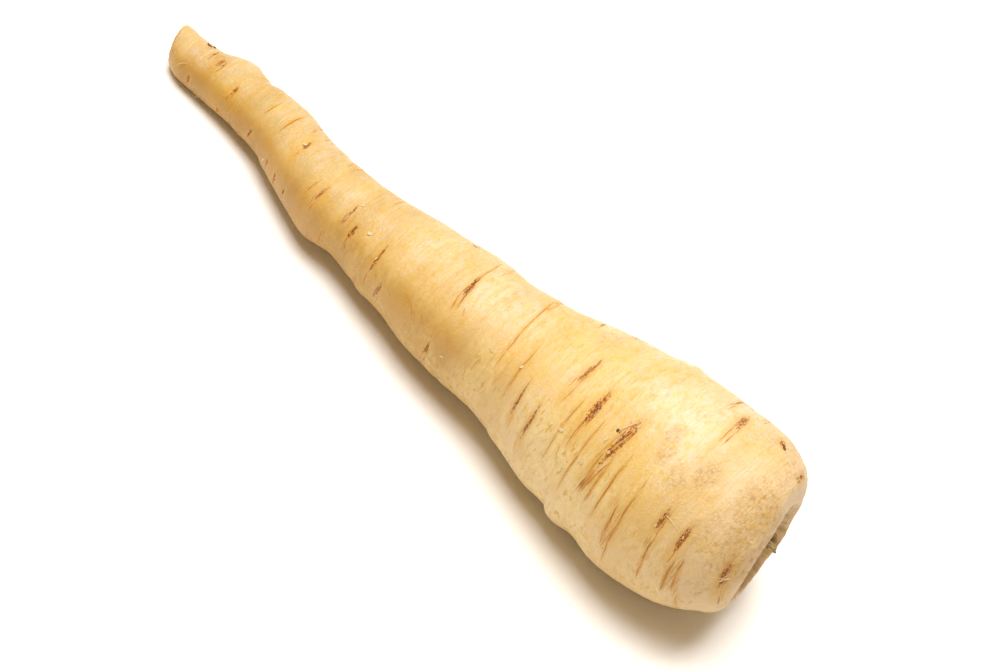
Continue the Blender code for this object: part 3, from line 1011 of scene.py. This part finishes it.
def dust_sheen_and_wrinkle_shade(tree, colour, flank):
    """Pale dry dust on the flanks, partly painted sheen, and short golden wrinkles of painted shade,
    most of it on the thick half.
    """
    thick = stretch(tree, along_root(tree), *THICK_END)
    where = scaled(tree, pattern(tree, *DUST_AND_SHEEN_AREAS), thick)
    dust_sheen_and_shade_mask = scaled(tree, where, flank)
    # partly dust, partly painted sheen: pale patches on the flanks
    colour = painted(tree, colour, DUST_AND_SHEEN, dust_sheen_and_shade_mask, pattern(tree, *FLANK_DUST_AND_SHEEN))
    speckles = grain(tree, *SPECKLES)
    colour = tinted(tree, colour, WARMER, stretch(tree, speckles, *WARM_SPECKLES), where)
    colour = painted(tree, colour, DUST_AND_SHEEN, stretch(tree, speckles, *PALE_SPECKLES), dust_sheen_and_shade_mask)
    # painted shade: short golden wrinkles on the flanks
    return painted(tree, colour, GOLD, dust_sheen_and_shade_mask, pattern(tree, *WRINKLE_SHADE))


def painted_light_shade_and_dust(tree, colour):
    """Painted light on the top, painted shade on the slender half's flanks, bands and underside, and
    dust with painted sheen.
    """
    sideways, upwards, _ = stored(tree, "spokes")
    flank = stretch(tree, maths(tree, "ABSOLUTE", sideways), *FLANKS)
    slender = stretch(tree, along_root(tree), *SLENDER_END)
    # painted shade: the flanks of the slender half darkened to gold
    colour = painted(tree, colour, GOLD, flank, slender, FLANK_SHADE)
    # painted light: the upward-facing skin made paler
    colour = tinted(tree, colour, SUNLIT, stretch(tree, upwards, *TOP))
    colour = dust_sheen_and_wrinkle_shade(tree, colour, flank)
    # painted shade: darker bands ringing the slender half
    colour = tinted(tree, colour, BAND_SHADE, pattern(tree, *GIRDLE_SHADES), slender)
    # painted shade: the slender half darkened underneath
    return tinted(tree, colour, SHADED, stretch(tree, upwards, *UNDERSIDE), slender)


def crown_colour(tree, colour, rough):
    """Dry beige skin near the crown, stippled with tan."""
    colour = painted(tree, colour, BEIGE, pattern(tree, *DRY_PATCHES), rough)
    stipple = scaled(tree, pattern(tree, *CROWN_STIPPLE), pattern(tree, *STIPPLED_AREAS))
    colour = painted(tree, colour, TAN, stipple, rough)
    return painted(tree, colour, CHALK, pattern(tree, *SCURF), rough)


def blotch_colour(tree, colour):
    """Stippled, weathered blotches."""
    cloud = Place(tree, "blotches").oval(wide=1.1, long=1.1, ragged=1.2, soft=1.4)
    colour = painted(tree, colour, FAWN, cloud, 0.38)
    colour = painted(tree, colour, UMBER, pattern(tree, *BLOTCH_STIPPLE), cloud)
    return painted(tree, colour, GOLD, pattern(tree, *BLOTCH_GOLD), cloud)


def crack_colour(tree, colour):
    """Fine orange and red-brown splits in a golden groove of painted shade; returns (colour, mask).
    """
    place = Place(tree, "cracks")
    # painted shade: a golden band along the crack, where its groove is shaded
    groove_shade = place.oval(wide=3.0, long=1.1, ragged=0.3)
    colour = painted(tree, colour, GOLD, groove_shade, 0.45)
    beside = place.oval(wide=2.2, long=0.9, shift=0.1, ragged=0.3)
    hairlines = place.streaks(per_mm=1.7, stretched=22, low=0.54, high=0.60)
    colour = painted(tree, colour, AMBER, hairlines, beside, 0.6)
    split = place.middle_line(half_width_mm=0.27, reach=1.35)
    tint = mixed(tree, pattern(tree, *CRACK_TINTS), GINGER, AMBER)
    return painted(tree, colour, tint, split), split


def crumbled(tree):
    """The colour of corky skin: dark and rusty crumbs with a few pale ones."""
    crumbs = grain(tree, *CRUMBS)
    colour = BARK
    for low, high, lighter in CRUMB_COLOURS:
        colour = painted(tree, colour, lighter, stretch(tree, crumbs, low, high))
    return colour


def scar_colour(tree, colour):
    """Corky scars: a crumbled patch, and splits that run on from it; returns (colour, mask)."""
    place = Place(tree, "scars")
    # painted shade: a golden halo round the scar, where its groove is shaded
    halo_shade = place.oval(wide=2.2, long=1.2, shift=0.05, ragged=0.4, soft=1.6)
    colour = painted(tree, colour, GOLD, halo_shade, 0.5)
    run_on = place.oval(wide=1.1, long=1.4, shift=0.4, ragged=0.5)
    splits = place.streaks(per_mm=2.1, stretched=34, low=0.52, high=0.58)
    splits = scaled(tree, splits, run_on)
    tint = mixed(tree, pattern(tree, *SPLIT_TINTS), AMBER, RUST)
    colour = painted(tree, colour, tint, splits, 0.85)
    peeled = place.streaks(per_mm=2.3, stretched=20, low=0.60, high=0.66)
    colour = painted(tree, colour, CHALK, peeled, place.oval(wide=1.1, long=1.0, ragged=0.3), 0.5)
    strands = place.streaks(per_mm=1.1, stretched=9, low=0.36, high=0.46)
    strands = stretch(tree, strands, *STRANDS)
    patch = scaled(tree, place.crumbs(wide=0.72, long=0.66, shift=-0.25), strands)
    colour = painted(tree, colour, crumbled(tree), patch, 0.95)
    return colour, maths(tree, "MAXIMUM", patch, scaled(tree, splits, 0.7))


def pitted(tree, colour):
    """Dark little holes."""
    hole = Place(tree, "pits").oval(wide=0.85, long=0.85, ragged=0.4, soft=0.5)
    return painted(tree, colour, BARK, hole)


def cut_colour(tree):
    """The raw face of the cut tip."""
    return mixed(tree, pattern(tree, *CUT_FACE), AMBER, TAN)


def rib_height(tree):
    """Noise that runs out from the crown's middle like ribs, 0 to 1."""
    spokes = wire(tree, "Attribute", attribute_name="spokes").outputs["Vector"]
    sockets = {"Vector": spokes, "Scale": 11.0, "Detail": 4.0}
    return wire(tree, "TexNoise", sockets).outputs["Fac"]


def skin_height(tree, scar, crack, ribs):
    """The finest relief: threads round the root, a light grain, crusted scars and split cracks."""
    return total(
        tree,
        grain(tree, *RELIEF_THREADS),
        scaled(tree, grain(tree, *PORES), PORE_HEIGHT),
        scaled(tree, grain(tree, *GRIT), DUST_HEIGHT),
        scaled(tree, grain(tree, *CRUST), scar, CRUMB_HEIGHT),
        scaled(tree, scar, SCAR_SINKS),
        scaled(tree, crack, CRACK_SINKS),
        ribs,
    )


def skin_material():
    """The root's skin, with its scars, cracks, rough crown, ribbed hollow and cut tip."""
    material, tree, shader = new_material(
        "parsnip_skin", Specular_IOR_Level=0.33, Subsurface_Weight=0.10, Subsurface_Scale=0.002,
        Subsurface_Radius=(1.0, 0.55, 0.2), Sheen_Weight=0.04, Sheen_Roughness=0.5,
        Sheen_Tint=(1.0, 0.82, 0.70, 1.0),
    )
    hollow, rough, tip = stored(tree, "ends")
    colour = crown_colour(tree, painted_light_shade_and_dust(tree, skin_colour(tree)), rough)
    colour = blotch_colour(tree, colour)
    colour, crack = crack_colour(tree, colour)
    colour, scar = scar_colour(tree, colour)
    colour = pitted(tree, colour)
    ribs = rib_height(tree)
    # The hollow's colour is partly its own tan and partly painted shade: darker than the skin, and
    # darkest between its ribs.
    ribbed = mixed(tree, stretch(tree, ribs, *RIB_SHADES), FAWN, BLUSH)
    colour = painted(tree, colour, ribbed, hollow)
    colour = painted(tree, colour, cut_colour(tree), tip)
    tree.links.new(colour, shader.inputs["Base Color"])
    dull = total(tree, pattern(tree, *GLOSS), scaled(tree, scar, 0.3), scaled(tree, rough, 0.15))
    tree.links.new(dull, shader.inputs["Roughness"])
    bumped(tree, shader, skin_height(tree, scar, crack, scaled(tree, ribs, hollow)), 0.7)
    return material


# --- the other materials

STALK = (0.56, 0.42, 0.20)
STALK_GROOVE = (0.26, 0.17, 0.06)
TORN = (0.30, 0.21, 0.08)
TORN_GROOVE = (0.07, 0.05, 0.018)
STALK_STREAKS = ((160, 1900, 1900), 3, 0.55, 0.38, 0.62)
TORN_EDGE = (0.35, 0.75)  # how squarely skin faces out of the crown where it begins to look torn
TORN_GRAIN = (0.4, (900, 900, 900))
HAIR_SHADES = ((900, 900, 900), 2, 0.55, 0.4, 0.6)
FLAKE_SHADES = ((1600, 1600, 1600), 3, 0.55, 0.42, 0.58)
BARK_CRUMBS = ((2200, 2200, 2200), 4, 0.7)
BARK_SHADES = (0.4, 0.6)
FLOOR_SHADES = ((6, 6, 6), 2, 0.55, 0.3, 0.7)
FLOOR_DARK, FLOOR_LIGHT = (0.96, 0.96, 0.96), (0.98, 0.98, 0.98)


def two_toned(name, shades, first, second, **settings):
    """A material whose colour goes from one to the other in patches."""
    material, tree, shader = new_material(name, **settings)
    colour = mixed(tree, pattern(tree, *shades), first, second)
    tree.links.new(colour, shader.inputs["Base Color"])
    return material


def stub_material():
    """Dried stalk: tan at the base, darkening to an olive-brown torn edge."""
    material, tree, shader = new_material("dried_stalk", Roughness=0.75)
    out_of_crown = stored(tree, "facing")[0]
    streaks = pattern(tree, *STALK_STREAKS)
    stalk = mixed(tree, streaks, STALK_GROOVE, STALK)
    torn = mixed(tree, streaks, TORN_GROOVE, TORN)
    edge = total(tree, out_of_crown, unevenness(tree, *TORN_GRAIN))
    colour = mixed(tree, stretch(tree, edge, *TORN_EDGE), stalk, torn)
    tree.links.new(colour, shader.inputs["Base Color"])
    bumped(tree, shader, streaks, 0.5)
    return material


def hair_material():
    """Dry, pale root hair, beige in places."""
    return two_toned("dry_hair", HAIR_SHADES, CHALK, BEIGE, Roughness=0.6)


def flake_material():
    """Papery scraps of dried skin in two pale shades."""
    return two_toned(
        "papery_skin", FLAKE_SHADES, BLUSH, BEIGE,
        Roughness=0.65, Subsurface_Weight=0.3, Subsurface_Scale=0.001,
    )


def bark_material():
    """Scraps of dark, crumbly bark."""
    material, tree, shader = new_material("dark_bark", Roughness=0.85)
    crumbs = grain(tree, *BARK_CRUMBS)
    colour = mixed(tree, stretch(tree, crumbs, *BARK_SHADES), BARK, RUST)
    tree.links.new(colour, shader.inputs["Base Color"])
    bumped(tree, shader, crumbs, 0.8)
    return material


def floor_material():
    return two_toned(
        "pale_surface", FLOOR_SHADES, FLOOR_DARK, FLOOR_LIGHT,
        Roughness=0.6, Specular_IOR_Level=0.2,
    )


# --- the studio

FLOOR_SIZE = 8.0
SOFTBOX_DIRECTION = (-0.10, 0.03, 0.95)
SOFTBOX_DISTANCE = 1.2
SOFTBOX_SIZE = (1.0, 0.82)
SOFTBOX_WATTS = 26.7
GLOW_COLOUR = (1.0, 0.78, 0.50, 1.0)  # the warm light that fills the shadows
GLOW_STRENGTH = 0.38
WHITE = (1.0, 1.0, 1.0, 1.0)

CAMERA_ELEVATION = math.radians(47.5)
CAMERA_AZIMUTH = math.radians(20.75)
CAMERA_ROLL = math.radians(27.1)
CAMERA_DISTANCE = 0.8
CAMERA_AIM = (0.01715, 0.0068, 0.0164)
LENS_MM = 110
SENSOR_MM = 36


def make_floor():
    bpy.ops.object.select_all(action="DESELECT")
    bpy.ops.mesh.primitive_plane_add(size=FLOOR_SIZE, location=(0, 0, 0))
    floor = bpy.context.active_object
    floor.name = "floor"
    floor.data.materials.append(floor_material())
    floor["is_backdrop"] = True


def make_softbox():
    """A rectangular soft light that hangs over the parsnip and faces it."""
    light = bpy.data.lights.new("overhead", "AREA")
    light.shape = "RECTANGLE"
    light.size, light.size_y = SOFTBOX_SIZE
    light.energy = SOFTBOX_WATTS
    lamp = bpy.data.objects.new("overhead", light)
    bpy.context.scene.collection.objects.link(lamp)
    towards = Vector(SOFTBOX_DIRECTION).normalized()
    lamp.location = towards * SOFTBOX_DISTANCE
    lamp.rotation_mode = "QUATERNION"
    lamp.rotation_quaternion = towards.to_track_quat("Z", "Y")


def make_glow():
    """A warm glow from all round. To the camera, the backdrop stays white."""
    world = bpy.data.worlds.new("studio")
    bpy.context.scene.world = world
    world.use_nodes = True
    tree = world.node_tree
    glow = tree.nodes["Background"]
    glow.inputs["Color"].default_value = GLOW_COLOUR
    glow.inputs["Strength"].default_value = GLOW_STRENGTH
    backdrop = wire(tree, "Background", {"Color": WHITE, "Strength": 1.0})
    seen = wire(tree, "LightPath").outputs["Is Camera Ray"]
    sockets = {0: seen, 1: glow.outputs["Background"], 2: backdrop.outputs["Background"]}
    sky = wire(tree, "MixShader", sockets).outputs["Shader"]
    tree.links.new(sky, tree.nodes["World Output"].inputs["Surface"])


def make_camera():
    """Looks down on the root from its thick end, rolled so that the root lies across the frame."""
    lens = bpy.data.cameras.new("camera")
    lens.lens = LENS_MM
    lens.sensor_width = SENSOR_MM
    camera = bpy.data.objects.new("camera", lens)
    bpy.context.scene.collection.objects.link(camera)
    level = math.cos(CAMERA_ELEVATION)
    back = Vector((
        math.sin(CAMERA_AZIMUTH) * level, -math.cos(CAMERA_AZIMUTH) * level,
        math.sin(CAMERA_ELEVATION),
    ))
    roll = Quaternion((0, 0, 1), CAMERA_ROLL)
    camera.rotation_mode = "QUATERNION"
    camera.rotation_quaternion = (-back).to_track_quat("-Z", "Y") @ roll
    camera.location = Vector(CAMERA_AIM) + back * CAMERA_DISTANCE
    bpy.context.scene.camera = camera


FLAKE_THICKNESS = 0.10  # mm
SCRAP_THICKNESS = 0.25  # mm

make_camera()
make_floor()
make_softbox()
make_glow()
bpy.context.scene.view_settings.view_transform = "Standard"  # colours as they are
skin = Skin(*make_root())
make_stubs()
make_hairs(skin)
make_chips(skin, FLAKES, "skin_flakes", FLAKE_THICKNESS, flake_material())
make_chips(skin, BARK_SCRAPS, "bark_scraps", SCRAP_THICKNESS, bark_material())
